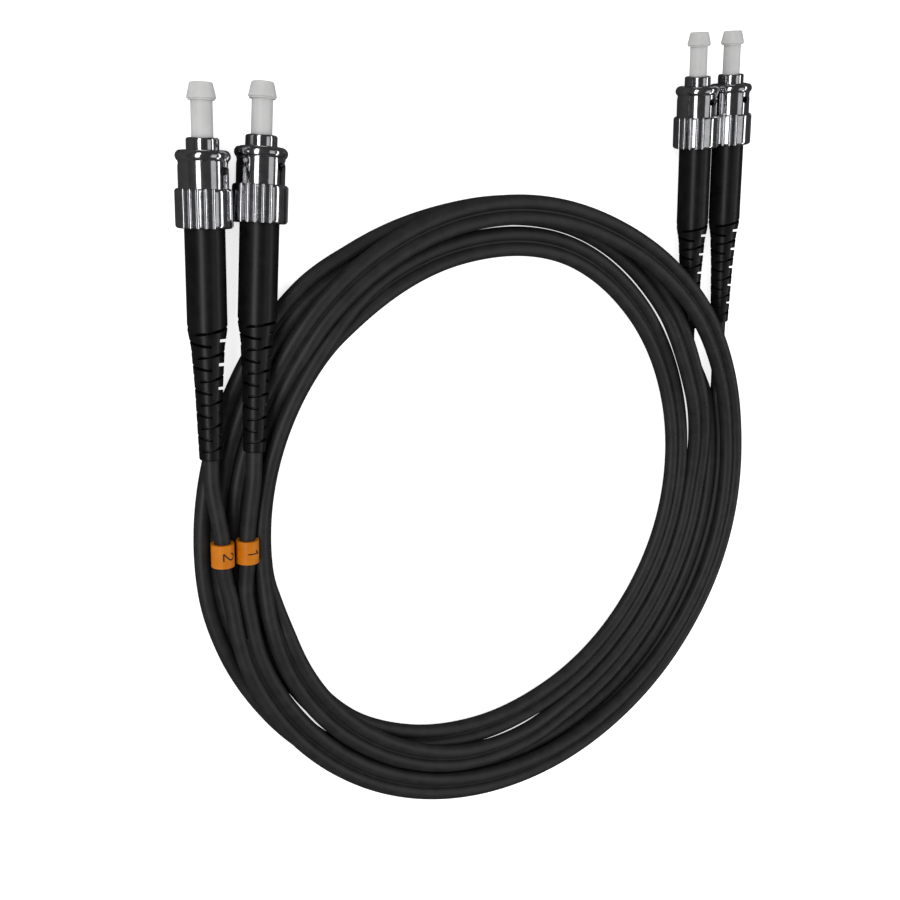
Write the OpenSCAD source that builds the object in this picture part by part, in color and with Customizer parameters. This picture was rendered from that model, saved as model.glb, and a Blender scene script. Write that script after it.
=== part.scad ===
// Duplex fibre patch cord with an ST bayonet connector on each of its four ends.
// Millimetres. +Z is up, and the cord lies coiled on the plane z = 0. The origin is under the middle
// of the four connectors, and every connector is drawn along its own axis from the tail of its boot.

/* [Dust cap] */
// Length of the cap from its mouth to its tip
cap_l = 9; // [8:0.5:11]
// Diameter of the cap's stem
cap_stem_d = 3.7; // [3.5:0.1:4.4]
// Diameter of the cap's head at its lip
cap_head_d = 5; // [4.8:0.1:6]
// Length of the cap's head
cap_head_l = 2.9; // [2.4:0.1:3.4]

/* [Coupling nut] */
// Length of the nut
nut_l = 13.1; // [12.7:0.1:13.5]
// Diameter over the knurled grip
grip_d = 9.86; // [9.4:0.02:9.9]
// Length of the knurled grip
grip_l = 6.7; // [6.2:0.1:7]
// Diameter of the smooth barrel in front of the grip
barrel_d = 8.6; // [8.5:0.05:8.7]
// Diameter over the bead round the mouth
bead_d = 9.4; // [9.1:0.1:9.8]
// Grooves in each of the three knurled groups
groove_count = 5; // [3:1:6]
// Angle from one groove to the next
groove_step = 16; // [14:1:17]
// Depth of a groove
groove_depth = 0.3; // [0.2:0.05:0.35]
// Diameter of the hole that the adapter's lug locks in
detent_d = 1.4; // [1.2:0.1:1.6]
// Turn from the entry of a bayonet slot to its detent
bayonet_turn = 60; // [50:5:75]

/* [Spring] */
// Diameter of the spring's wire
wire_d = 0.45; // [0.35:0.05:0.5]
// Turns from end to end
spring_turns = 5.5; // [4.5:0.5:6]

/* [Boot] */
// Length of the boot
boot_l = 42.2; // [41:0.1:44]
// Diameter of the boot's front
boot_d = 7; // [6.8:0.1:7.2]
// Diameter of the boot's tail
boot_tail_d = 4.1; // [3.9:0.1:4.2]
// Width of a slot in the boot's tail
slot_w = 0.55; // [0.4:0.05:0.7]
// Slant of the slots
slot_slant = 10; // [0:1:12]

/* [Cord] */
// Diameter of one leg of the cord
cord_d = 3; // [2.8:0.05:3]
// Diameter of a numbered marker sleeve
marker_d = 4.3; // [4:0.1:4.3]
// Length of a marker sleeve
marker_l = 4.4; // [3.5:0.1:4.6]

/* [Hidden] */
$fn = 48;
eps = 0.01;

// Standard sizes of the bayonet connector, and the play between its pieces
ferrule_d = 2.5;
buffer_d = 0.9;
buffer_bore_d = 1;
glue_gap = 0.01;
running_gap = 0.08;
cap_play = 0.02;

// Cap: how much its head narrows, the edge and the hollow of its tip, and the end of its bore
head_taper = 0.5;
tip_round = 0.35;
tip_hollow = 0.2;
bore_chamfer = 0.3;

// Holder: a hollow stem, a flange that the spring bears on, and a collar round the ferrule
stem_d = 4.2;
flange_d = 6.2;
flange_t = 1.2;
collar_d = 5.6;
collar_l = 4.3;
collar_round = 0.4;
key_w = 1;
key_l = 2.7;
key_r = 3.4;
key_from = 0.7;
clip_groove_d = 3.7;
clip_t = 0.7;
clip_d = 5.8;
clip_gap = 80;
clip_play = 0.05;
spigot_d = 2.6;
spigot_l = 1.6;
seat_l = 7.1;
ferrule_out = 5;

// Nut: a web inside it carries the washer and the spring
web_t = 1.55;
web_in = 2.9;
nut_bore_d = 7.5;
grip_round = 0.55;
bead_l = 2.1;
mouth_flare = 0.25;
lug_floor_d = 8.8;
slit_w = 0.28;
detent_depth = 3.35;
ramp_dip = 0.2;
knurl_groups = 3;
knurl_turn = -123;
groove_r = 0.36;
detent_turn = -62;
nut_overlap = 1.2;

// Washer and spring
washer_d = 7.1;
washer_t = 0.6;
washer_gap = 0.05;
spring_d = 5.65;
spring_l = 4.5;
end_pitch = 1.12;

// Post, crimp sleeve and boot: rows of slots start above the tail, and every second row is turned
post_d = 3.4;
post_flange_d = 5.2;
post_flange_t = 1;
post_l = 8;
sleeve_d = 5.2;
sleeve_l = 11.2;
sleeve_step = 8;
boot_cavity_d = 5.3;
cord_play = 0.05;
slot_from = 2.2;
slot_pitch = 4.25;
slot_rows = 6;
slot_turn = 7;
slot_span = 152;

// Places along the axis of a connector, from the tail of its boot
nut_at = boot_l - nut_overlap;
web_at = nut_at + web_in;
washer_at = web_at + web_t + washer_gap;
spring_at = washer_at + washer_t;
flange_at = spring_at + spring_l;
collar_at = flange_at + flange_t;
cap_at = collar_at + collar_l;
ferrule_at = cap_at - seat_l;
clip_at = web_at - clip_t - 0.2;
post_at = clip_at - post_flange_t - 0.6;
stem_at = post_at + post_flange_t;
sleeve_at = post_at - 0.1 - sleeve_l;
cord_end = post_at - post_l - 0.2;

// Middle of the coil
COIL = [9.35, -58.9, 0];

// Connectors: name, tail of the boot from the middle of the coil, heading left of +Y, pitch above
// the floor, and roll about the axis. A lies over the coil's edge and B beside it.
PLUGS = [
    ["a1", [-60.5, 12.6, 6.6], 3, -2.02, 0],
    ["a2", [-68.12, 10.8, 5.1], 6.2, -0.2, 0],
    ["b1", [57.9, 43.5, 2.05], 13, 4.03, -25],
    ["b2", [48.15, 41.3, 2.05], 13, 4.03, -25]
];

// Routes of the four legs from the tail of the boot to the coil, from the middle of the coil.
// The markers sit between the third and the fourth point of a leg on side A.
LEG_ROUTES = [
    [[-60.2, 7.2, 6.7], [-60, 1.5, 5.9], [-59.7, -4.6, 5.15], [-59.25, -9, 5.15], [-59, -12.5, 4.6],
        [-58.7, -15.7, 4.5]],
    [[-67.6, 6.3, 5.1], [-66.1, 0.6, 5.15], [-64.6, -5.1, 5.15], [-64.1, -9.5, 5.15],
        [-63, -13, 4.6], [-61.7, -16.5, 4.5]],
    [[59, 38.6, 1.7], [60.3, 33.5, 1.5], [61.1, 29, 1.5], [61.7, 24.9, 1.5]],
    [[48.9, 38.2, 1.8], [50.6, 35.2, 1.6], [52.9, 32.3, 1.5], [55.4, 29.2, 1.5], [57.3, 26.6, 1.5],
        [58.8, 23.8, 1.5]]
];
MARKER_SPAN = [2, 3];

// Outer shape of the coil: stretches as start, end, inner and outer radius, and the lowest and the
// highest face in cord diameters. They overlap by a degree. The one that starts above the floor is a
// hump over the tail of a boot.
COIL_STRETCHES = [
    [139, 196, 50.6, 68.6, 0, 1],
    [195, 263, 52.5, 66.5, 0, 2],
    [262, 381.5, 48.5, 63, 0, 1],
    [262, 381.5, 61, 70.2, 0, 2],
    [380.5, 416, 49.5, 60, 0, 2],
    [380.5, 416, 60.5, 68.5, 1.74, 2.74],
    [415, 500, 53, 66.8, 0, 2]
];

PIECES = ["dust_cap", "ferrule", "ferrule_holder", "spring", "spring_washer", "retaining_clip",
    "coupling_nut", "back_post", "crimp_sleeve", "boot", "fibre_buffer", "cord_leg"];

// Points of an arc about c, from angle a to angle b
function arc(c, r, a, b, steps = 4) =
    [for (i = [0:steps]) c + r * [cos(a + (b - a) * i / steps), sin(a + (b - a) * i / steps)]];

// Direction in which a connector points
function heading(plug) =
    [-sin(plug[2]) * cos(plug[3]), cos(plug[2]) * cos(plug[3]), sin(plug[3])];

// Unit vector
function unit(v) = v / norm(v);

// Direction of a route at point i, averaged over the two stretches that meet there
function route_dir(route, i) =
    unit(route[min(i + 1, len(route) - 1)] - route[max(i - 1, 0)]);

// Ring of a round tube about point i of a route
function tube_ring(route, i, d, sides) =
    let (along = route_dir(route, i), side = unit(cross(along, [0, 0, 1])), up = cross(side, along))
        [for (k = [0:sides - 1])
            route[i] + d / 2 * (side * cos((k + 0.5) * 360 / sides) + up * sin((k + 0.5) * 360 / sides))];

// Faces of a tube whose rings follow each other in one list
function tube_faces(rings, sides) = concat(
    [[for (k = [0:sides - 1]) k]],
    [for (i = [0:rings - 2], k = [0:sides - 1])
        let (a = i * sides + k, b = i * sides + (k + 1) % sides) [a, a + sides, b + sides, b]],
    [[for (k = [sides - 1:-1:0]) (rings - 1) * sides + k]]);

// Round tube swept along a level route
module tube(route, d, sides) {
    points = [for (i = [0:len(route) - 1]) each tube_ring(route, i, d, sides)];
    polyhedron(points, tube_faces(len(route), sides), convexity = 6);
}

// Revolved profile of [radius, height] points
module turned(profile) {
    rotate_extrude() polygon(profile);
}

// Puts what is drawn along +Z on the axis of a connector
module at_plug(plug) {
    translate(COIL + plug[1])
        rotate([-90 + plug[3], 0, plug[2]])
            rotate([0, 0, plug[4]]) children();
}

// Push-on cap: a stem round the ferrule, and a tapered head with a lip to pull on
module dust_cap() {
    bore_r = ferrule_d / 2 + cap_play;
    bore_end = ferrule_out + 0.4;
    lip_r = cap_head_d / 2;
    lip_round = 0.15;
    neck = cap_l - cap_head_l;
    tip_r = lip_r - head_taper;
    color("gainsboro") translate([0, 0, cap_at]) turned(concat(
        [[bore_r, 0], [cap_stem_d / 2, 0], [cap_stem_d / 2, neck], [lip_r - 0.2, neck],
            [lip_r - 0.2, neck + 0.2]],
        arc([lip_r - lip_round, neck + 0.4], lip_round, -60, 15),
        arc([tip_r - tip_round, cap_l - tip_round], tip_round, 15, 90),
        [[0, cap_l - tip_hollow], [0, bore_end], [bore_r - bore_chamfer, bore_end],
            [bore_r, bore_end - bore_chamfer]]));
}

// Ceramic ferrule with a chamfered end
module ferrule() {
    r = ferrule_d / 2;
    tip = seat_l + ferrule_out;
    color("white") translate([0, 0, ferrule_at])
        turned([[0, 0], [r, 0], [r, tip - 0.35], [r - 0.2, tip], [0, tip]]);
}

// Metal holder: its rear takes the post's spigot, its front the ferrule
module ferrule_holder() {
    seat_r = ferrule_d / 2 + glue_gap;
    groove_r = clip_groove_d / 2;
    groove_from = clip_at - clip_play;
    groove_to = clip_at + clip_t + clip_play;
    r = stem_d / 2;
    color("silver") difference() {
        union() {
            turned(concat(
                [[0, stem_at], [r, stem_at], [r, groove_from], [groove_r, groove_from],
                    [groove_r, groove_to], [r, groove_to], [r, flange_at],
                    [flange_d / 2, flange_at], [flange_d / 2, collar_at], [collar_d / 2, collar_at]],
                arc([collar_d / 2 - collar_round, cap_at - collar_round], collar_round, 0, 90),
                [[0, cap_at]]));
            translate([-key_w / 2, 0, collar_at + key_from]) cube([key_w, key_r, key_l]);
        }
        translate([0, 0, ferrule_at]) cylinder(r = seat_r, h = seat_l + eps);
        translate([0, 0, stem_at]) cylinder(d = buffer_bore_d, h = ferrule_at - stem_at + eps);
        translate([0, 0, stem_at - eps]) cylinder(d = spigot_d + 2 * glue_gap, h = spigot_l + eps);
    }
}

// Height of the spring's wire after t turns: nearly closed turns at both ends, open ones between
function spring_height(t) =
    let (closed = wire_d * end_pitch, open = (spring_l - wire_d - 2 * closed) / (spring_turns - 2))
        wire_d / 2 + closed * min(t, 1) + open * max(0, min(t - 1, spring_turns - 2))
            + closed * max(0, t - spring_turns + 1);

// Compression spring round the stem of the holder
module spring() {
    steps = 14;
    sides = 6;
    rings = floor(spring_turns * steps);
    mean_r = (spring_d - wire_d) / 2;
    points = [for (i = [0:rings], k = [0:sides - 1])
        let (a = i * 360 / steps, r = mean_r + wire_d / 2 * cos(k * 360 / sides))
            [r * cos(a), r * sin(a), spring_height(i / steps) + wire_d / 2 * sin(k * 360 / sides)]];
    color("lightslategray") translate([0, 0, spring_at])
        polyhedron(points, tube_faces(rings + 1, sides), convexity = 10);
}

// Washer between the spring and the web of the nut
module spring_washer() {
    color("silver") translate([0, 0, washer_at]) difference() {
        cylinder(d = washer_d, h = washer_t);
        translate([0, 0, -eps]) cylinder(d = stem_d + 2 * running_gap, h = washer_t + 2 * eps);
    }
}

// Open clip in the groove of the stem, which keeps the nut on
module retaining_clip() {
    color("dimgray") translate([0, 0, clip_at])
        rotate([0, 0, clip_gap / 2]) rotate_extrude(angle = 360 - clip_gap)
            translate([clip_groove_d / 2 + glue_gap, 0])
                square([(clip_d - clip_groove_d) / 2 - glue_gap, clip_t]);
}

// Bayonet slot in the barrel: it enters straight at the mouth, curves round the barrel and ends in
// the detent. Its route is laid out flat, as [distance round the barrel, height].
module bayonet_slot() {
    floor_r = lug_floor_d / 2;
    inner_r = nut_bore_d / 2 - 0.4;
    half_w = (detent_d - 0.1) / 2;
    detent_at = nut_l - detent_depth;
    round_l = bayonet_turn * PI / 180 * floor_r;
    steps = 9;
    route = [for (i = [0:steps]) [round_l * cos(90 * i / steps),
        nut_l + half_w - (detent_depth + half_w + ramp_dip) * sin(90 * i / steps)]];
    corners = [[inner_r, half_w], [floor_r, half_w], [floor_r, -half_w], [inner_r, -half_w]];
    points = [for (i = [0:steps], corner = corners)
        let (along = route_dir(route, i), p = route[i] + corner[1] * [-along[1], along[0]],
            a = p[0] / floor_r * 180 / PI)
                [corner[0] * cos(a), corner[0] * sin(a), p[1]]];
    polyhedron(points, tube_faces(steps + 1, 4), convexity = 6);
    translate([0, 0, detent_at]) rotate([0, 90, 0]) cylinder(d = detent_d, h = bead_d);
    translate([0, -slit_w / 2, grip_l + eps]) cube([bead_d, slit_w, detent_at - grip_l]);
}

// Coupling nut: knurled grip, smooth barrel and beaded mouth, turned in one piece
module coupling_nut() {
    grip_r = grip_d / 2;
    bead_r = bead_l / 2;
    bead_c = [bead_d / 2 - bead_r, nut_l - bead_r];
    bead_from = -acos((barrel_d / 2 - bead_c[0]) / bead_r);
    bore_r = nut_bore_d / 2;
    web_r = stem_d / 2 + running_gap;
    color("slategray") translate([0, 0, nut_at]) difference() {
        turned(concat(
            [[bore_r, 0]],
            arc([grip_r - grip_round, grip_round], grip_round, -90, 0),
            arc([grip_r - grip_round, grip_l - grip_round], grip_round, 0, 90),
            [[barrel_d / 2, grip_l]],
            arc(bead_c, bead_r, bead_from, 75, 10),
            [[bore_r + mouth_flare, nut_l - mouth_flare / 3], [bore_r, nut_l - 2 * mouth_flare],
                [bore_r, web_in + web_t], [web_r, web_in + web_t], [web_r, web_in], [bore_r, web_in]]));
        for (group = [0:knurl_groups - 1], i = [0:groove_count - 1])
            rotate(knurl_turn + group * 360 / knurl_groups + (i - (groove_count - 1) / 2) * groove_step)
                translate([grip_r + groove_r - groove_depth, 0, -eps])
                    cylinder(r = groove_r, h = grip_l + 2 * eps);
        for (side = [0, 180])
            rotate([0, 0, side + detent_turn]) bayonet_slot();
    }
}

// Rear post: a spigot in the holder, a flange, and the tube that the cord's yarn is crimped on
module back_post() {
    color("silver") difference() {
        turned([[0, stem_at + spigot_l], [spigot_d / 2, stem_at + spigot_l], [spigot_d / 2, stem_at],
            [post_flange_d / 2, stem_at], [post_flange_d / 2, post_at], [post_d / 2, post_at],
            [post_d / 2, post_at - post_l], [0, post_at - post_l]]);
        translate([0, 0, post_at - post_l - eps])
            cylinder(d = buffer_bore_d, h = post_l + post_flange_t + spigot_l + 2 * eps);
    }
}

// Crimp sleeve: wide round the post, narrow round the jacket of the cord
module crimp_sleeve() {
    color("goldenrod") translate([0, 0, sleeve_at]) difference() {
        cylinder(d = sleeve_d, h = sleeve_l);
        translate([0, 0, -eps]) cylinder(d = cord_d + 2 * glue_gap, h = sleeve_l + 2 * eps);
        translate([0, 0, sleeve_l - sleeve_step]) cylinder(d = post_d + 0.1, h = sleeve_step + eps);
    }
}

// Row of two opposite slots in the boot, cut through to the cord
module boot_slots(h, turn, slant) {
    reach = boot_d;
    apex = reach / tan(slot_span / 2);
    for (side = [0, 180])
        rotate([0, 0, turn + side]) translate([0, 0, h]) rotate([slant, 0, 0])
            translate([0, 0, -slot_w / 2]) linear_extrude(slot_w)
                polygon([[0, 0], [apex, -reach], [reach, -reach], [reach, reach], [apex, reach]]);
}

// Strain relief boot: a plain front and a slotted tail that bends
module boot() {
    r = boot_d / 2;
    tail_r = boot_tail_d / 2;
    edge = 0.3;
    taper = r - tail_r;
    color("#222222") difference() {
        turned(concat(
            [[0, 0], [tail_r - edge, 0]],
            arc([tail_r - edge, edge], edge, -90, 0, 3),
            [[tail_r + 0.31 * taper, 0.32 * boot_l], [tail_r + 0.62 * taper, 0.485 * boot_l],
                [r - 0.05, 0.555 * boot_l], [r, 0.58 * boot_l], [r, boot_l - edge]],
            [[r - edge, boot_l], [0, boot_l]]));
        translate([0, 0, -eps]) cylinder(d = cord_d + 2 * cord_play, h = boot_l + 2 * eps);
        translate([0, 0, sleeve_at - 0.1]) cylinder(d = boot_cavity_d, h = boot_l);
        for (i = [0:slot_rows - 1])
            boot_slots(slot_from + i * slot_pitch, slot_turn - 90, slot_slant);
        for (i = [0:slot_rows - 2])
            boot_slots(slot_from + (i + 0.5) * slot_pitch, slot_turn, -slot_slant);
    }
}

// Tight buffer round the glass fibre, from the cord's jacket to the ferrule
module fibre_buffer() {
    color("orange") translate([0, 0, cord_end]) cylinder(d = buffer_d, h = ferrule_at - cord_end);
}

// One leg of the cord, from the crimp sleeve through the boot to the coil
module cord_leg(i) {
    plug = PLUGS[i];
    inside = [for (h = [cord_end, cord_end * 2 / 3, cord_end / 3, 0]) plug[1] + h * heading(plug)];
    color("#3a3a3a") translate(COIL) tube(concat(inside, LEG_ROUTES[i]), cord_d, 8);
}

// Numbered sleeve on a leg of side A
module marker_sleeve(i) {
    from = LEG_ROUTES[i][MARKER_SPAN[0]];
    span = LEG_ROUTES[i][MARKER_SPAN[1]] - from;
    color("darkorange") translate(COIL + from + span / 2)
        rotate([0, acos(unit(span)[2]), atan2(span[1], span[0])]) difference() {
            cylinder(d = marker_d, h = marker_l, center = true);
            cylinder(d = cord_d + 2 * cord_play, h = marker_l + 1, center = true);
        }
}

// Section of one stretch of the coil, with corners as round as the cord
module stretch_section(size) {
    r = cord_d / 2;
    polygon(concat(
        arc([size[0] - r, size[1] - r], r, 0, 90, 3),
        arc([r, size[1] - r], r, 90, 180, 3),
        arc([r, r], r, 180, 270, 3),
        arc([size[0] - r, r], r, 270, 360, 3)));
}

// Outer shape of the coiled pair of legs
module cord_coil() {
    color("#333333") translate(COIL) for (s = COIL_STRETCHES)
        rotate([0, 0, s[0]]) rotate_extrude(angle = s[1] - s[0], $fn = 180)
            translate([s[2], s[4] * cord_d]) stretch_section([s[3] - s[2], (s[5] - s[4]) * cord_d]);
}

for (i = [0:len(PLUGS) - 1]) {
    plug = PLUGS[i];
    at_plug(plug) dust_cap();
    at_plug(plug) ferrule();
    at_plug(plug) ferrule_holder();
    at_plug(plug) spring();
    at_plug(plug) spring_washer();
    at_plug(plug) retaining_clip();
    at_plug(plug) coupling_nut();
    at_plug(plug) back_post();
    at_plug(plug) crimp_sleeve();
    at_plug(plug) boot();
    at_plug(plug) fibre_buffer();
    cord_leg(i);
}
marker_sleeve(0);  // marker_sleeve_1
marker_sleeve(1);  // marker_sleeve_2
cord_coil();
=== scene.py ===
"""Duplex fibre patch cord with an ST connector on each of its four ends, lying in a coil."""
import math

import bmesh
import bpy
from mathutils import Matrix, Vector

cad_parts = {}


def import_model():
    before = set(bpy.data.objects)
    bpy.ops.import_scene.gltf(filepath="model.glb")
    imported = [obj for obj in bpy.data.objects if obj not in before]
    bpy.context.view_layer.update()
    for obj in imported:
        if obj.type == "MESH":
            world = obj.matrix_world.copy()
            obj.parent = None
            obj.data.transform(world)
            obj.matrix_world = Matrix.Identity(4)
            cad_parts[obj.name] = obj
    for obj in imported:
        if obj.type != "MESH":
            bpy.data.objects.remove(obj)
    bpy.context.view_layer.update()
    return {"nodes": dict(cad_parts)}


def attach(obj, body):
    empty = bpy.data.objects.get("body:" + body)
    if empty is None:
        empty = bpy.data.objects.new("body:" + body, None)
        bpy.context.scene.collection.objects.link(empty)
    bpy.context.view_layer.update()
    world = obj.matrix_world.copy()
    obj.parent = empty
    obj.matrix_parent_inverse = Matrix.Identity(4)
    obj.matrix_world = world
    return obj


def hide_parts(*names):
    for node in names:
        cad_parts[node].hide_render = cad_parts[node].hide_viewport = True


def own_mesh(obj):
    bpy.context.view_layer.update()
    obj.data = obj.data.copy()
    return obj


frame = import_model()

MM = 0.001

# ---------------------------------------------------------------- places, as the source has them, in mm

COIL = Vector((9.35, -58.9, 0))
PLUGS = {  # tail of the boot from the middle of the coil, heading left of +Y, pitch, roll
    "a1": ((-60.5, 12.6, 6.6), 3, -2.02, 0),
    "a2": ((-68.12, 10.8, 5.1), 6.2, -0.2, 0),
    "b1": ((57.9, 43.5, 2.05), 13, 4.03, -25),
    "b2": ((48.15, 41.3, 2.05), 13, 4.03, -25),
}
LEG_ROUTES = {
    "a1": [(-60.2, 7.2, 6.7), (-60, 1.5, 5.9), (-59.7, -4.6, 5.15), (-59.25, -9, 5.15), (-59, -12.5, 4.6),
           (-58.7, -15.7, 4.5)],
    "a2": [(-67.6, 6.3, 5.1), (-66.1, 0.6, 5.15), (-64.6, -5.1, 5.15), (-64.1, -9.5, 5.15),
           (-63, -13, 4.6), (-61.7, -16.5, 4.5)],
    "b1": [(59, 38.6, 1.7), (60.3, 33.5, 1.5), (61.1, 29, 1.5), (61.7, 24.9, 1.5)],
    "b2": [(48.9, 38.2, 1.8), (50.6, 35.2, 1.6), (52.9, 32.3, 1.5), (55.4, 29.2, 1.5), (57.3, 26.6, 1.5),
           (58.8, 23.8, 1.5)],
}
CORD_D = 3.0          # jacket of one leg
CORD_END = 33.2       # end of the jacket, from the tail of the boot
PAIR_STEP = 3.1       # from one strand of the pair to the other
MARKER_D = 4.3        # marker sleeve, across outside

# Stations of the coiled pair: angle round the coil, radius of the pair's middle, height of that middle,
# and roll of the pair about its own length. The first turn lies on top, the last one on the floor.
STATIONS = [
    (-165, 62.3, 4.5, 0), (-150, 63.3, 4.5, 0), (-132, 63.6, 4.5, 0), (-107, 64.2, 4.5, 0),
    (-88, 64.8, 4.5, 0), (-59, 66.1, 4.5, 0), (-31, 67.5, 4.5, 0),
    (-9, 68.1, 4.5, 0), (12, 67.4, 4.7, 0), (28, 66.3, 5.8, 0), (44, 65.2, 6.6, 0),
    (58, 64.2, 6.0, 0), (74, 63.3, 4.9, 0), (90, 62.8, 4.5, 0), (110, 62.4, 4.5, 0),
    (128, 62.0, 4.5, 0), (144, 61.5, 4.4, 0), (154, 60.4, 2.8, 0), (160, 59.9, 1.8, 0),
    (170, 59.75, 1.5, 0), (192, 59.75, 1.5, 0), (200, 59.2, 1.5, 0), (208, 58.1, 1.5, 0),
    (218, 57.1, 1.5, 0), (232, 56.9, 1.5, 0), (252, 55.2, 1.5, 0), (270, 53.4, 1.5, 0),
    (296, 51.6, 1.5, 0), (328, 51.0, 1.5, 0), (359, 51.7, 1.5, 0), (388, 53.1, 1.5, 0),
    (414, 54.8, 1.5, 0), (444, 56.4, 1.5, 0), (466, 55.9, 1.5, 0), (484, 55.8, 1.6, 0),
    (496, 55.8, 2.2, 25), (506, 55.9, 2.8, 55),
    (516, 55.9, 2.85, 59), (553, 55.9, 2.85, 59), (561, 56.1, 3.9, 35), (568, 56.4, 4.6, 12),
    (576, 56.8, 4.6, 0), (588, 57.2, 4.6, 0), (602, 57.5, 4.6, 0), (616, 57.9, 4.5, 0),
    (630, 58.3, 3.9, 0), (646, 58.1, 3.0, 0), (660, 57.9, 1.6, 0), (690, 58.0, 1.5, 0),
    (720, 58.4, 1.5, 0), (735, 58.4, 3.0, 0), (748, 57.9, 4.5, 0), (760, 58.6, 4.5, 0),
    (768, 60.4, 3.2, 0), (776, 61.6, 1.7, 0), (804, 62.6, 1.5, 0), (826, 62.4, 1.5, 0),
    (849, 64.0, 1.5, 0), (860, 65.6, 1.5, 0), (868, 65.95, 1.5, 0),
    (880, 65.95, 1.5, 0), (913, 65.95, 1.5, 0), (925, 65.3, 1.5, 0), (940, 64.2, 1.5, 0),
    (960, 63.4, 1.5, 0), (990, 63.7, 1.5, 0), (1020, 64.2, 1.5, 0), (1050, 65.0, 1.5, 0),
    (1080, 65.1, 1.5, 0), (1105, 65.0, 1.5, 0),
]


def plug_matrix(name):
    """Local frame of a connector in metres: +Z along its axis, from the tail of its boot."""
    tail, heading, pitch, roll = PLUGS[name]
    turn = (Matrix.Rotation(math.radians(heading), 4, "Z") @ Matrix.Rotation(math.radians(pitch - 90), 4, "X")
            @ Matrix.Rotation(math.radians(roll), 4, "Z"))
    return Matrix.Translation((COIL + Vector(tail)) * MM) @ turn


# ---------------------------------------------------------------- camera

def camera():
    """Camera from the left and above, rolled to keep +Y upright."""
    data = bpy.data.cameras.new("camera")
    data.lens = 45
    data.sensor_width = 36
    data.clip_start = 0.01
    cam = bpy.data.objects.new("camera", data)
    right, up, back = (0.8366, 0.1162, 0.5354), (0, 0.9778, -0.2118), (-0.5479, 0.1774, 0.8176)
    turn = Matrix((right, up, back)).transposed().to_4x4()
    from_coil = Vector((-143.4, 53.5, 194.2))
    cam.matrix_world = Matrix.Translation((COIL + from_coil) * MM) @ turn
    bpy.context.scene.collection.objects.link(cam)
    bpy.context.scene.camera = cam


# ---------------------------------------------------------------- cords

def spline_at(keys, x):
    """Values at x between the rows of keys, whose first column is x, on a smooth curve without overshoot."""
    n = len(keys)
    i = max(j for j in range(n - 1) if keys[j][0] <= x or j == 0)
    step = [keys[j + 1][0] - keys[j][0] for j in range(n - 1)]

    def slope(j, c):
        if j in (0, n - 1):
            return 0
        a = (keys[j][c] - keys[j - 1][c]) / step[j - 1]
        b = (keys[j + 1][c] - keys[j][c]) / step[j]
        if a * b <= 0:
            return 0
        before, after = step[j - 1], step[j]
        return 3 * (before + after) / ((2 * after + before) / a + (after + 2 * before) / b)

    h = step[i]
    t = (x - keys[i][0]) / h
    out = []
    for c in range(1, len(keys[0])):
        p, q = keys[i][c], keys[i + 1][c]
        out.append((2 * t ** 3 - 3 * t ** 2 + 1) * p + (t ** 3 - 2 * t ** 2 + t) * h * slope(i, c)
                   + (3 * t ** 2 - 2 * t ** 3) * q + (t ** 3 - t ** 2) * h * slope(i + 1, c))
    return out


def coil_points(side, step=4, offset=PAIR_STEP / 2):
    """Points along one strand of the coiled pair. side is -1 for the inner strand and 1 for the outer one."""
    start, end = STATIONS[0][0], STATIONS[-1][0]
    points = []
    for k in range(1, int((end - start) / step)):
        angle = start + k * step
        radius, height, roll = spline_at(STATIONS, angle)
        reach = radius + side * offset * math.cos(math.radians(roll))
        z = height + side * offset * math.sin(math.radians(roll))
        turn = math.radians(angle)
        points.append(Vector((reach * math.cos(turn), reach * math.sin(turn), z)))
    return points


def leg_points(name):
    """Points of a leg from the end of its jacket in the crimp sleeve, through the boot, to the coil."""
    tail = Vector(PLUGS[name][0])
    along = plug_matrix(name).to_3x3() @ Vector((0, 0, 1))
    inside = [tail + along * CORD_END * (3 - k) / 3 for k in range(4)]
    return inside + [Vector(p) for p in LEG_ROUTES[name]]


def rounded(points, gap=1.5):
    """Points every gap mm along a smooth curve through the given points."""
    out = []
    for i in range(len(points) - 1):
        p0 = points[i - 1] if i else points[0] * 2 - points[1]
        p1, p2 = points[i], points[i + 1]
        p3 = points[i + 2] if i + 2 < len(points) else p2 * 2 - p1
        t1 = (p1 - p0).length ** 0.5
        t2 = (p2 - p1).length ** 0.5
        t3 = (p3 - p2).length ** 0.5
        m1 = t2 * ((p1 - p0) / t1 - (p2 - p0) / (t1 + t2) + (p2 - p1) / t2)
        m2 = t2 * ((p2 - p1) / t2 - (p3 - p1) / (t2 + t3) + (p3 - p2) / t3)
        steps = max(1, round((p2 - p1).length / gap))
        for k in range(steps):
            t = k / steps
            out.append((2 * t ** 3 - 3 * t ** 2 + 1) * p1 + (t ** 3 - 2 * t ** 2 + t) * m1
                       + (3 * t ** 2 - 2 * t ** 3) * p2 + (t ** 3 - t ** 2) * m2)
    return out + [points[-1]]


def cord_curve(name, points, diameter):
    """Round cord through points given in mm from the middle of the coil."""
    data = bpy.data.curves.new(name, "CURVE")
    data.dimensions = "3D"
    data.bevel_depth = diameter / 2 * MM
    data.bevel_resolution = 5
    data.use_fill_caps = True
    spline = data.splines.new("POLY")
    spline.points.add(len(points) - 1)
    for target, p in zip(spline.points, points):
        target.co = (*((p + COIL) * MM), 1)
    obj = bpy.data.objects.new(name, data)
    bpy.context.scene.collection.objects.link(obj)
    return obj


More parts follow.
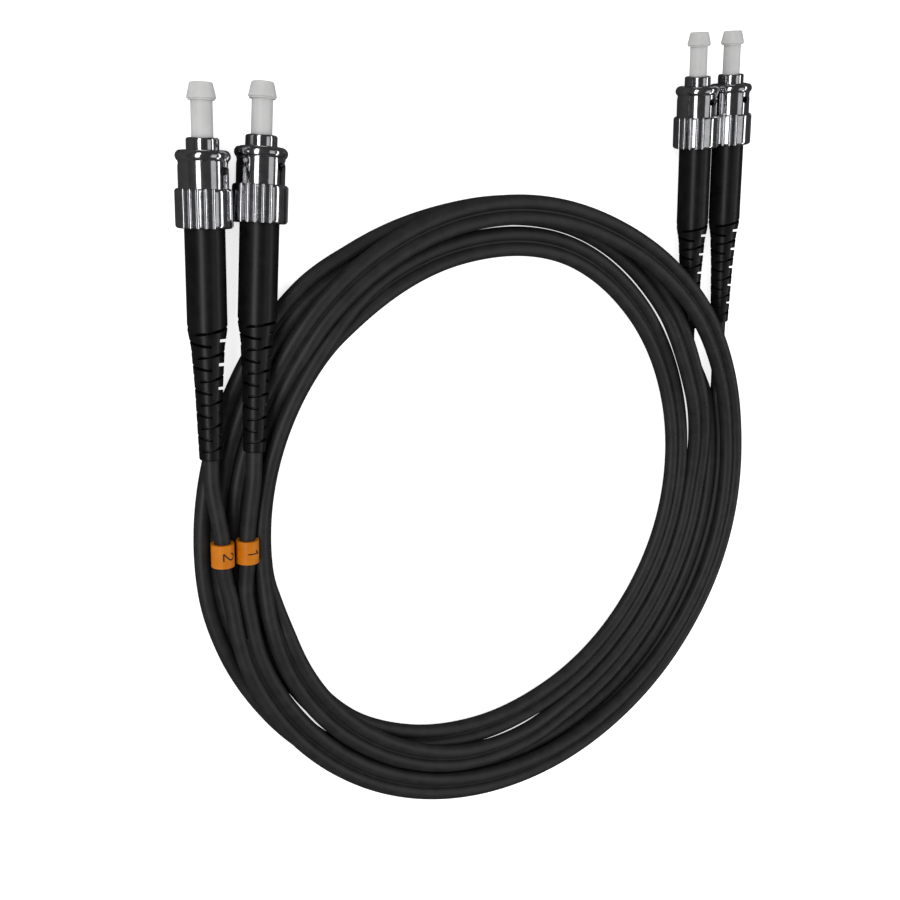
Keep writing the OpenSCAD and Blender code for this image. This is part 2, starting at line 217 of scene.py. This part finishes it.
def cords():
    """Both cords of the pair: from a1 to b2 on the inside of the turns, from a2 to b1 on the outside."""
    for start, end, side, sleeve in (("a1", "b2", -1, "marker_sleeve_1"), ("a2", "b1", 1, "marker_sleeve_2")):
        route = leg_points(start) + coil_points(side) + leg_points(end)[::-1]
        cord = cord_curve("cord_" + start, rounded(route), CORD_D)
        cord.data.materials.append(MATERIALS["jacket"])
        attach(cord, "patch_cord")
        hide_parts("cord_leg_" + start, "cord_leg_" + end, "cord_coil")


# ---------------------------------------------------------------- materials

def material(name, dark, light, rough, grain, bump, metal=0.0):
    """Principled material with a fine bump. Colour and roughness vary with a noise.

    dark and light are the ends of the colour, rough those of the roughness.
    grain is the noise's size in metres.
    """
    mat = bpy.data.materials.new(name)
    mat.use_nodes = True
    nodes, links = mat.node_tree.nodes, mat.node_tree.links
    bsdf = nodes["Principled BSDF"]
    bsdf.inputs["Metallic"].default_value = metal
    coords = nodes.new("ShaderNodeTexCoord")
    noise = nodes.new("ShaderNodeTexNoise")
    noise.inputs["Scale"].default_value = 1 / grain
    noise.inputs["Detail"].default_value = 6
    links.new(coords.outputs["Object"], noise.inputs["Vector"])
    ramp = nodes.new("ShaderNodeValToRGB")
    ramp.color_ramp.elements[0].position = 0.35
    ramp.color_ramp.elements[1].position = 0.65
    ramp.color_ramp.elements[0].color = (*dark, 1)
    ramp.color_ramp.elements[1].color = (*light, 1)
    links.new(noise.outputs["Fac"], ramp.inputs["Fac"])
    links.new(ramp.outputs["Color"], bsdf.inputs["Base Color"])
    spread = nodes.new("ShaderNodeMapRange")
    spread.inputs["To Min"].default_value = rough[0]
    spread.inputs["To Max"].default_value = rough[1]
    links.new(noise.outputs["Fac"], spread.inputs["Value"])
    links.new(spread.outputs["Result"], bsdf.inputs["Roughness"])
    fine = nodes.new("ShaderNodeTexNoise")
    fine.inputs["Scale"].default_value = 6 / grain
    fine.inputs["Detail"].default_value = 3
    links.new(coords.outputs["Object"], fine.inputs["Vector"])
    relief = nodes.new("ShaderNodeBump")
    relief.inputs["Strength"].default_value = bump
    relief.inputs["Distance"].default_value = 0.02 * MM
    links.new(fine.outputs["Fac"], relief.inputs["Height"])
    links.new(relief.outputs["Normal"], bsdf.inputs["Normal"])
    return mat


def grey(value):
    return (value, value, value)


def make_materials():
    made = {
        "jacket": material("jacket", (0.015, 0.015, 0.0155), (0.022, 0.022, 0.0225), (0.42, 0.56), 3 * MM,
                           0.35),
        "boot": material("boot", grey(0.004), grey(0.007), (0.30, 0.40), 2 * MM, 0.25),
        "nickel": material("nickel", (0.56, 0.56, 0.58), (0.66, 0.66, 0.68), (0.08, 0.15), 1.5 * MM, 0.05, 1),
        "cap": material("cap", (0.56, 0.56, 0.555), (0.62, 0.62, 0.615), (0.35, 0.5), 4 * MM, 0.15),
        "ceramic": material("ceramic", (0.84, 0.83, 0.8), (0.9, 0.89, 0.86), (0.15, 0.25), 1 * MM, 0.05),
        "spring": material("spring", grey(0.38), grey(0.5), (0.2, 0.32), 1 * MM, 0.1, 1),
        "brass": material("brass", (0.55, 0.4, 0.17), (0.68, 0.5, 0.24), (0.22, 0.35), 1 * MM, 0.1, 1),
        "buffer": material("buffer", (0.75, 0.3, 0.04), (0.85, 0.38, 0.07), (0.35, 0.45), 1 * MM, 0.1),
        "marker": material("marker", (0.56, 0.16, 0.0), (0.64, 0.195, 0.001), (0.35, 0.5), 2 * MM, 0.15),
        "ink": material("ink", grey(0.008), grey(0.015), (0.5, 0.6), 0.5 * MM, 0.1),
    }
    for name, level in (("boot", 0.3), ("jacket", 0.4), ("marker", 0.25)):
        made[name].node_tree.nodes["Principled BSDF"].inputs["Specular IOR Level"].default_value = level
    cap = made["cap"].node_tree.nodes["Principled BSDF"]
    cap.inputs["Subsurface Weight"].default_value = 0.25
    cap.inputs["Subsurface Radius"].default_value = (1.0, 1.0, 1.0)
    cap.inputs["Subsurface Scale"].default_value = 1.2 * MM
    return made


NODE_MATERIAL = {
    "dust_cap": "cap", "ferrule": "ceramic", "ferrule_holder": "nickel",
    "spring_washer": "nickel", "retaining_clip": "spring", "coupling_nut": "nickel", "back_post": "nickel",
    "crimp_sleeve": "brass", "boot": "boot", "fibre_buffer": "buffer",
}


def dress_nodes():
    """Gives every CAD node that still shows its own material."""
    names = {piece + "_" + plug: mat for plug in PLUGS for piece, mat in NODE_MATERIAL.items()}
    names.update({"marker_sleeve_1": "marker", "marker_sleeve_2": "marker"})
    for name, mat in names.items():
        mesh = frame["nodes"][name].data
        mesh.materials.clear()
        mesh.materials.append(MATERIALS[mat])


# ---------------------------------------------------------------- web, springs and numerals

def mesh_piece(name, points, faces, mat):
    """Piece on the patch cord's body, from points in metres, with all its faces turned outwards."""
    mesh = bpy.data.meshes.new(name)
    mesh.from_pydata([tuple(p) for p in points], [], faces)
    work = bmesh.new()
    work.from_mesh(mesh)
    bmesh.ops.recalc_face_normals(work, faces=work.faces)
    work.to_mesh(mesh)
    work.free()
    mesh.materials.append(MATERIALS[mat])
    obj = bpy.data.objects.new(name, mesh)
    bpy.context.scene.collection.objects.link(obj)
    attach(obj, "patch_cord")
    return obj


def cord_web():
    """Thin web that joins the two strands of the pair, from after the first station to before the last."""
    width, thick = 0.3, 0.5        # half of each, in mm
    lead_in, lead_out, step = 8, 3, 3        # degrees
    points = []
    start, end = STATIONS[0][0] + lead_in, STATIONS[-1][0] - lead_out
    count = int((end - start) / step) + 1
    for k in range(count):
        angle = math.radians(start + k * step)
        radius, height, roll = spline_at(STATIONS, start + k * step)
        roll = math.radians(roll)
        out = Vector((math.cos(angle), math.sin(angle), 0))
        across = out * math.cos(roll) + Vector((0, 0, math.sin(roll)))
        up = Vector((0, 0, math.cos(roll))) - out * math.sin(roll)
        middle = COIL + out * radius + Vector((0, 0, height))
        for a, b in ((-1, -1), (1, -1), (1, 1), (-1, 1)):
            points.append((middle + across * width * a + up * thick * b) * MM)
    faces = [(0, 1, 2, 3), tuple(4 * (count - 1) + j for j in (3, 2, 1, 0))]
    for k in range(count - 1):
        for j in range(4):
            a, b = 4 * k + j, 4 * k + (j + 1) % 4
            faces.append((a, a + 4, b + 4, b))
    return mesh_piece("cord_web", points, faces, "jacket")


# Spring, in mm: across outside, place of its foot from the tail of the boot, pitch of its closed end turns in
# wire diameters, and how far the nut pushes it
SPRING = {"wire": 0.45, "outside": 5.65, "length": 4.5, "turns": 5.5, "foot": 46.1, "end_pitch": 1.12,
          "push": 1.6}


def springs():
    """Coil springs in the nuts, each at one fixed length."""
    wire, length, turns, foot = SPRING["wire"], SPRING["length"], SPRING["turns"], SPRING["foot"]
    mean = (SPRING["outside"] - wire) / 2
    closed = wire * SPRING["end_pitch"]
    rise = (length - wire - 2 * closed) / (turns - 2)
    steps, sides = 36, 12
    rings = int(turns * steps) + 1
    for plug in PLUGS:
        local = plug_matrix(plug)
        points, faces = [], []
        for i in range(rings):
            t = i / steps
            height = (wire / 2 + closed * min(t, 1) + rise * max(0, min(t - 1, turns - 2))
                      + closed * max(0, t - turns + 1))
            angle = 2 * math.pi * t
            for k in range(sides):
                round_wire = 2 * math.pi * k / sides
                radius = mean + wire / 2 * math.cos(round_wire)
                z = foot + height + wire / 2 * math.sin(round_wire)
                points.append(local @ (Vector((radius * math.cos(angle), radius * math.sin(angle), z)) * MM))
        for i in range(rings - 1):
            for k in range(sides):
                a, b = i * sides + k, i * sides + (k + 1) % sides
                faces.append((a, b, b + sides, a + sides))
        faces += [tuple(reversed(range(sides))), tuple((rings - 1) * sides + k for k in range(sides))]
        coil = mesh_piece("coil_spring_" + plug, points, faces, "spring")
        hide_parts("spring_" + plug)
        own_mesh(coil)


NUMERAL_TURN = 0.2       # radians from the top of the sleeve
STROKES = {  # pen strokes of the numerals in a box one unit high, x to the right
    "1": [(-0.22, 0.74), (-0.08, 0.84), (0.06, 1.0), (0.06, 0.0)],
    "2": [(-0.3, 0.74), (-0.24, 0.92), (-0.05, 1.0), (0.16, 0.97), (0.29, 0.8), (0.25, 0.6), (0.02, 0.34),
          (-0.3, 0.04), (-0.3, 0.0), (0.32, 0.0)],
}


def numeral(text, leg, turn):
    """Printed numeral round the middle of a marker sleeve, with its foot towards the left side."""
    a, b = Vector(LEG_ROUTES[leg][2]), Vector(LEG_ROUTES[leg][3])
    along = (a - b).normalized()
    middle = COIL + (a + b) / 2
    side = along.cross(Vector((0, 0, 1))).normalized()
    top = side.cross(along)
    ink, size, pen, steps = 0.015, 2.1, 0.13, 6        # lift and sizes in mm, cuts of a stroke
    overrun = 0.8        # how far a stroke runs past its corner, in pens
    radius = MARKER_D / 2 + ink
    strokes = STROKES[text]
    points, faces = [], []
    for p, q in zip(strokes, strokes[1:]):
        p, q = Vector(p) * size, Vector(q) * size
        normal = Vector((p.y - q.y, q.x - p.x)).normalized() * pen
        reach = (q - p).normalized() * pen * overrun
        base = len(points)
        for k in range(steps + 1):
            at = (p - reach).lerp(q + reach, k / steps)
            for edge in (at + normal, at - normal):
                # the numeral stands turned by a quarter: its height runs round the sleeve
                angle = turn + (edge.y - size / 2) / radius
                outwards = side * math.sin(angle) + top * math.cos(angle)
                points.append((middle - along * edge.x + outwards * radius) * MM)
        for k in range(steps):
            i = base + 2 * k
            faces.append((i, i + 1, i + 3, i + 2))
    return mesh_piece("numeral_" + text, points, faces, "ink")


# ---------------------------------------------------------------- floor and light

# Grey levels of the surroundings: lit floor and sky, and the same as they show in the metal
FLOOR, FLOOR_IN_METAL = 0.85, 0.07
SKY, SKY_IN_METAL = 0.5, 0.05
FLOOR_FILL = 0.74        # own light of the floor, for the camera only

def floor():
    """Pale floor: white to the camera apart from the object's shadow, and darker in reflections."""
    mesh = bpy.data.meshes.new("floor")
    half = 3        # metres
    corners = [(-half, -half, 0), (half, -half, 0), (half, half, 0), (-half, half, 0)]
    mesh.from_pydata(corners, [], [(0, 1, 2, 3)])
    obj = bpy.data.objects.new("floor", mesh)
    bpy.context.scene.collection.objects.link(obj)
    mat = bpy.data.materials.new("floor")
    mat.use_nodes = True
    nodes, links = mat.node_tree.nodes, mat.node_tree.links
    bsdf = nodes["Principled BSDF"]
    bsdf.inputs["Roughness"].default_value = 1
    bsdf.inputs["Specular IOR Level"].default_value = 0
    bsdf.inputs["Emission Color"].default_value = (1, 1, 1, 1)
    path = nodes.new("ShaderNodeLightPath")
    tone = nodes.new("ShaderNodeMix")
    tone.data_type = "RGBA"
    tone.inputs["A"].default_value = (*grey(FLOOR), 1)
    tone.inputs["B"].default_value = (*grey(FLOOR_IN_METAL), 1)
    links.new(path.outputs["Is Glossy Ray"], tone.inputs["Factor"])
    links.new(tone.outputs["Result"], bsdf.inputs["Base Color"])
    fill = nodes.new("ShaderNodeMath")
    fill.operation = "MULTIPLY"
    fill.inputs[1].default_value = FLOOR_FILL
    links.new(path.outputs["Is Camera Ray"], fill.inputs[0])
    links.new(fill.outputs["Value"], bsdf.inputs["Emission Strength"])
    mesh.materials.append(mat)


def lamp(name, lean, distance, size, size_y, radiance):
    """Soft box over the middle of the object: lean is its angle from straight above, towards +X."""
    data = bpy.data.lights.new(name, "AREA")
    data.shape = "RECTANGLE"
    data.size = size
    data.size_y = size_y
    data.energy = radiance * math.pi * size * size_y
    obj = bpy.data.objects.new(name, data)
    angle = math.radians(lean)
    obj.location = (distance * math.sin(angle), 0, distance * math.cos(angle))
    obj.rotation_euler = (0, angle, 0)
    bpy.context.scene.collection.objects.link(obj)


def world():
    """White to the camera, soft grey as light, and dark in reflections."""
    w = bpy.data.worlds.new("world")
    bpy.context.scene.world = w
    w.use_nodes = True
    nodes, links = w.node_tree.nodes, w.node_tree.links
    path = nodes.new("ShaderNodeLightPath")
    tone = nodes.new("ShaderNodeMix")
    tone.data_type = "RGBA"
    tone.inputs["A"].default_value = (*grey(SKY), 1)
    tone.inputs["B"].default_value = (*grey(SKY_IN_METAL), 1)
    links.new(path.outputs["Is Glossy Ray"], tone.inputs["Factor"])
    seen = nodes.new("ShaderNodeMix")
    seen.data_type = "RGBA"
    seen.inputs["B"].default_value = (1, 1, 1, 1)
    links.new(path.outputs["Is Camera Ray"], seen.inputs["Factor"])
    links.new(tone.outputs["Result"], seen.inputs["A"])
    links.new(seen.outputs["Result"], nodes["Background"].inputs["Color"])
    bpy.context.scene.view_settings.view_transform = "Standard"


MATERIALS = make_materials()
camera()
web = cord_web()
numerals = {leg: numeral(text, leg, NUMERAL_TURN) for leg, text in (("a1", "1"), ("a2", "2"))}
cords()
springs()
dress_nodes()
floor()
lamp("strip_left", -46, 0.6, 0.16, 0.9, 4.2)
lamp("strip_right", 50, 0.6, 0.08, 0.9, 3.2)
lamp("top", 22, 0.7, 0.3, 0.5, 0.6)
world()
